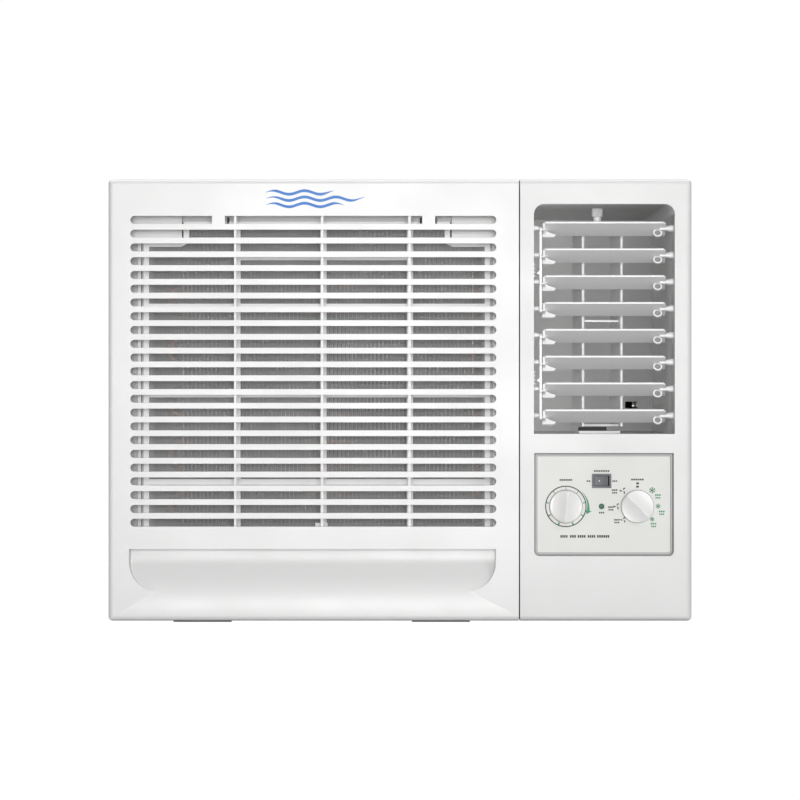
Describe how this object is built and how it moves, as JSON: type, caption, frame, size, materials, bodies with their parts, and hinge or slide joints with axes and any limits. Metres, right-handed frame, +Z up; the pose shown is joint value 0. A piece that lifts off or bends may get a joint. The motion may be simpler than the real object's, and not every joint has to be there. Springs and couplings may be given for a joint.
{
  "type": "window air conditioner",
  "caption": "Room air conditioner for a window: hinged slotted intake grille, tilting louvres, swing vanes, two knobs and a steel sleeve with its cooling works.",
  "frame": {"origin": "middle of the footprint, on the surface that the base rails stand on", "axes": "+Z up; -Y out of the front panel into the room; +X to the right as seen from the room"},
  "size_m": [0.56, 0.66, 0.4252],
  "materials": {
    "white_plastic": "moulded, soft satin gloss",
    "grille_plastic": "moulded, soft satin gloss",
    "louver_plastic": "moulded, slightly translucent",
    "knob_plastic": "satin moulded",
    "plate_plastic": "printed warm white film",
    "switch_plastic": "fine matt texture",
    "lamp_lens": "dark green lens",
    "duct_foam": "moulded foam and plastic, grey",
    "scroll_plastic": "moulded",
    "fan_plastic": "moulded, dark",
    "filter_plastic": "moulded, grey",
    "filter_net": "fine woven thread",
    "painted_steel": "powder coated",
    "galvanised": "zinc coated sheet",
    "dark_steel": "black enamel",
    "motor_metal": "grey enamel",
    "bare_steel": "turned or plated",
    "fin_aluminium": "thin bare fins",
    "copper": "drawn copper pipe",
    "capacitor_can": "drawn can",
    "control_body": "moulded resin",
    "black_rubber": "moulded"
  },
  "bodies": {
    "chassis": {"sleeve": "painted_steel", "base_rails": "dark_steel", "front_feet": "black_rubber", "base_pan": "galvanised", "rear_guard": "painted_steel", "drain_spout": "black_rubber", "front_frame": "white_plastic", "hinge_pins": "bare_steel", "filter_frame": "filter_plastic", "filter_mesh": "filter_net", "louver_frame": "white_plastic", "discharge_duct": "duct_foam", "vane_pad": "black_rubber", "swing_motor": "motor_metal", "control_plate": "plate_plastic", "control_box": "galvanised", "thermostat": "control_body", "selector_switch": "control_body", "rocker_bezel": "switch_plastic", "run_lamp": "lamp_lens", "run_capacitor": "capacitor_can", "cord_bushing": "black_rubber", "evaporator_fins": "fin_aluminium", "evaporator_bends": "copper", "blower_scroll": "scroll_plastic", "fan_motor": "motor_metal", "motor_bracket": "galvanised", "bulkhead": "galvanised", "fan_shroud": "galvanised", "condenser_fins": "fin_aluminium", "condenser_bends": "copper", "compressor": "dark_steel", "compressor_grommets": "black_rubber", "accumulator": "dark_steel", "discharge_pipe": "copper", "suction_pipe": "copper", "filter_drier": "copper", "sleeve_screws": "bare_steel", "frame_screws": "bare_steel"},
    "grille": {"intake_grille": "grille_plastic"},
    "louver_1": {"louver_1": "louver_plastic"},
    "louver_2": {"louver_2": "louver_plastic"},
    "louver_3": {"louver_3": "louver_plastic"},
    "louver_4": {"louver_4": "louver_plastic"},
    "louver_5": {"louver_5": "louver_plastic"},
    "louver_6": {"louver_6": "louver_plastic"},
    "louver_7": {"louver_7": "louver_plastic"},
    "louver_8": {"louver_8": "louver_plastic"},
    "upper_link": {"upper_link": "louver_plastic"},
    "lower_link": {"lower_link": "louver_plastic"},
    "vanes": {"swing_vanes": "louver_plastic"},
    "crank": {"swing_crank": "knob_plastic"},
    "thermostat_knob": {"thermostat_knob": "knob_plastic"},
    "selector_knob": {"selector_knob": "knob_plastic"},
    "rocker": {"swing_rocker": "switch_plastic"},
    "rotor": {"fan_shaft": "bare_steel", "blower_wheel": "fan_plastic", "propeller_fan": "fan_plastic"}
  },
  "joints": [
    {"name": "grille_swing", "type": "hinge", "parent": "chassis", "child": "grille", "pos_m": [0, -0.3071, 0.4187], "axis": [-1, 0, 0], "range_deg": [0, 75]},
    {"name": "louver_1_tilt", "type": "hinge", "parent": "chassis", "child": "louver_1", "pos_m": [0.1284, -0.3044, 0.37881], "axis": [-1, 0, 0], "range_deg": [-53, 5]},
    {"name": "louver_2_tilt", "type": "hinge", "parent": "chassis", "child": "louver_2", "pos_m": [0.1284, -0.3044, 0.353], "axis": [-1, 0, 0], "range_deg": [-53, 5]},
    {"name": "louver_3_tilt", "type": "hinge", "parent": "chassis", "child": "louver_3", "pos_m": [0.1284, -0.3044, 0.32718], "axis": [-1, 0, 0], "range_deg": [-53, 5]},
    {"name": "louver_4_tilt", "type": "hinge", "parent": "chassis", "child": "louver_4", "pos_m": [0.1284, -0.3044, 0.30137], "axis": [-1, 0, 0], "range_deg": [-53, 5]},
    {"name": "louver_5_tilt", "type": "hinge", "parent": "chassis", "child": "louver_5", "pos_m": [0.1284, -0.3044, 0.27555], "axis": [-1, 0, 0], "range_deg": [-53, 5]},
    {"name": "louver_6_tilt", "type": "hinge", "parent": "chassis", "child": "louver_6", "pos_m": [0.1284, -0.3044, 0.24974], "axis": [-1, 0, 0], "range_deg": [-53, 5]},
    {"name": "louver_7_tilt", "type": "hinge", "parent": "chassis", "child": "louver_7", "pos_m": [0.1284, -0.3044, 0.22392], "axis": [-1, 0, 0], "range_deg": [-53, 5]},
    {"name": "louver_8_tilt", "type": "hinge", "parent": "chassis", "child": "louver_8", "pos_m": [0.1284, -0.3044, 0.19811], "axis": [-1, 0, 0], "range_deg": [-53, 5]},
    {"name": "upper_link_swing", "type": "hinge", "parent": "louver_1", "child": "upper_link", "pos_m": [0.1352, -0.31339, 0.3769], "axis": [-1, 0, 0], "range_deg": [-5, 53]},
    {"name": "lower_link_swing", "type": "hinge", "parent": "louver_5", "child": "lower_link", "pos_m": [0.1352, -0.31339, 0.27364], "axis": [-1, 0, 0], "range_deg": [-5, 53]},
    {"name": "vane_swing", "type": "hinge", "parent": "chassis", "child": "vanes", "pos_m": [0.194, -0.2606, 0.1806], "axis": [0, 0, 1], "range_deg": [-33, 17]},
    {"name": "crank_turn", "type": "hinge", "parent": "chassis", "child": "crank", "pos_m": [0.194, -0.2842, 0.1726], "axis": [0, 0, 1], "range_deg": [-119, 61.5]},
    {"name": "thermostat_turn", "type": "hinge", "parent": "chassis", "child": "thermostat_knob", "pos_m": [0.1593, -0.3206, 0.111], "axis": [0, 1, 0], "range_deg": [-164, 152]},
    {"name": "selector_turn", "type": "hinge", "parent": "chassis", "child": "selector_knob", "pos_m": [0.228, -0.3206, 0.111], "axis": [0, 1, 0], "range_deg": [-270, 0]},
    {"name": "rocker_press", "type": "hinge", "parent": "chassis", "child": "rocker", "pos_m": [0.19365, -0.3146, 0.1355], "axis": [0, 0, 1], "range_deg": [0, 20]},
    {"name": "fan_turn", "type": "hinge", "parent": "chassis", "child": "rotor", "pos_m": [-0.0748, 0, 0.206], "axis": [0, 1, 0], "continuous": true}
  ],
  "couplings": [
    {"joint": "louver_2_tilt", "follows": "louver_1_tilt", "ratio": 1},
    {"joint": "louver_3_tilt", "follows": "louver_1_tilt", "ratio": 1},
    {"joint": "louver_4_tilt", "follows": "louver_1_tilt", "ratio": 1},
    {"joint": "louver_6_tilt", "follows": "louver_5_tilt", "ratio": 1},
    {"joint": "louver_7_tilt", "follows": "louver_5_tilt", "ratio": 1},
    {"joint": "louver_8_tilt", "follows": "louver_5_tilt", "ratio": 1},
    {"joint": "upper_link_swing", "follows": "louver_1_tilt", "ratio": -1},
    {"joint": "lower_link_swing", "follows": "louver_5_tilt", "ratio": -1},
    {"joint": "crank_turn", "follows": "vane_swing", "ratio": 3.6}
  ]
}
